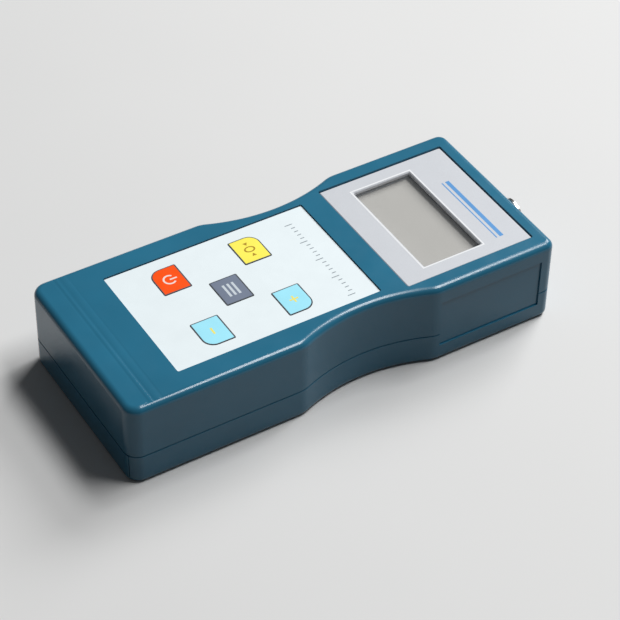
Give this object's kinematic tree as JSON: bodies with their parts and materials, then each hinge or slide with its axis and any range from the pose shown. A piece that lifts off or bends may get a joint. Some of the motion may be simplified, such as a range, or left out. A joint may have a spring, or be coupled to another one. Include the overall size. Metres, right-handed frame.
{
  "type": "coating thickness gauge",
  "caption": "Hand-held coating thickness gauge with a waisted two-shell housing, display panel, membrane keypad, sliding battery door and a round probe socket.",
  "frame": {"origin": "middle of the back face, which the gauge lies on; half the housing's length, the socket left out", "axes": "+X across to the right of the keypad, +Y along the housing towards the probe socket, +Z out of the front face"},
  "size_m": [0.069, 0.169, 0.032],
  "materials": {
    "housing_front": "satin moulded plastic, fine texture",
    "housing_rear": "satin moulded plastic, fine texture",
    "silver_panel": "silver painted plastic",
    "clear_window": "clear sheet",
    "display_glass": "unlit display, grey-beige",
    "black_plastic": "moulded",
    "conductive_rubber": "striped conductive rubber",
    "printed_sheet": "printed polyester sheet, fine matt grain",
    "film": "polyester film",
    "spring_steel": "plated spring steel",
    "key_red": "printed polyester",
    "key_yellow": "printed polyester",
    "key_grey": "printed polyester",
    "key_blue": "printed polyester",
    "board": "solder-masked glass-fibre board",
    "screw_steel": "zinc plated",
    "chip": "moulded package",
    "crystal_can": "drawn can",
    "capacitor": "sleeved can",
    "connector": "moulded",
    "socket_metal": "nickel plated brass",
    "contact_brass": "gold flashed",
    "lead_insulation": "coloured insulation",
    "cell_sleeve": "plain printed sleeve over a steel can"
  },
  "bodies": {
    "housing": {"front_shell": "housing_front", "rear_shell": "housing_rear", "display_panel": "silver_panel", "display_window": "clear_window", "lcd_glass": "display_glass", "lcd_frame": "black_plastic", "lcd_strips": "conductive_rubber", "keypad_overlay": "printed_sheet", "keypad_spacer": "film", "keypad_circuit": "film", "switch_domes": "spring_steel", "main_board": "board", "board_screws": "screw_steel", "processor": "chip", "amplifier": "chip", "crystal": "crystal_can", "capacitors": "capacitor", "buzzer": "black_plastic", "keypad_connector": "connector", "socket_header": "connector", "socket_body": "socket_metal", "socket_nut": "socket_metal", "socket_insert": "black_plastic", "socket_contacts": "contact_brass", "socket_leads": "lead_insulation", "battery_cell_1": "cell_sleeve", "battery_cell_2": "cell_sleeve", "battery_cell_3": "cell_sleeve", "battery_cell_4": "cell_sleeve", "cell_springs": "spring_steel", "contact_strips": "spring_steel", "battery_leads": "lead_insulation", "case_screws": "screw_steel"},
    "battery_cover": {"battery_door": "housing_rear"},
    "power_button": {"key_power": "key_red"},
    "zero_button": {"key_zero": "key_yellow"},
    "mode_button": {"key_mode": "key_grey"},
    "plus_button": {"key_plus": "key_blue"},
    "minus_button": {"key_minus": "key_blue"}
  },
  "joints": [
    {"name": "battery_cover_slide", "type": "slide", "parent": "housing", "child": "battery_cover", "axis": [0, -1, 0], "range_m": [0, 0.066]},
    {"name": "power_press", "type": "slide", "parent": "housing", "child": "power_button", "axis": [0, 0, -1], "range_m": [0, 0.0004], "stiffness_N_per_m": 1200},
    {"name": "zero_press", "type": "slide", "parent": "housing", "child": "zero_button", "axis": [0, 0, -1], "range_m": [0, 0.0004], "stiffness_N_per_m": 1200},
    {"name": "mode_press", "type": "slide", "parent": "housing", "child": "mode_button", "axis": [0, 0, -1], "range_m": [0, 0.0004], "stiffness_N_per_m": 1200},
    {"name": "plus_press", "type": "slide", "parent": "housing", "child": "plus_button", "axis": [0, 0, -1], "range_m": [0, 0.0004], "stiffness_N_per_m": 1200},
    {"name": "minus_press", "type": "slide", "parent": "housing", "child": "minus_button", "axis": [0, 0, -1], "range_m": [0, 0.0004], "stiffness_N_per_m": 1200}
  ]
}
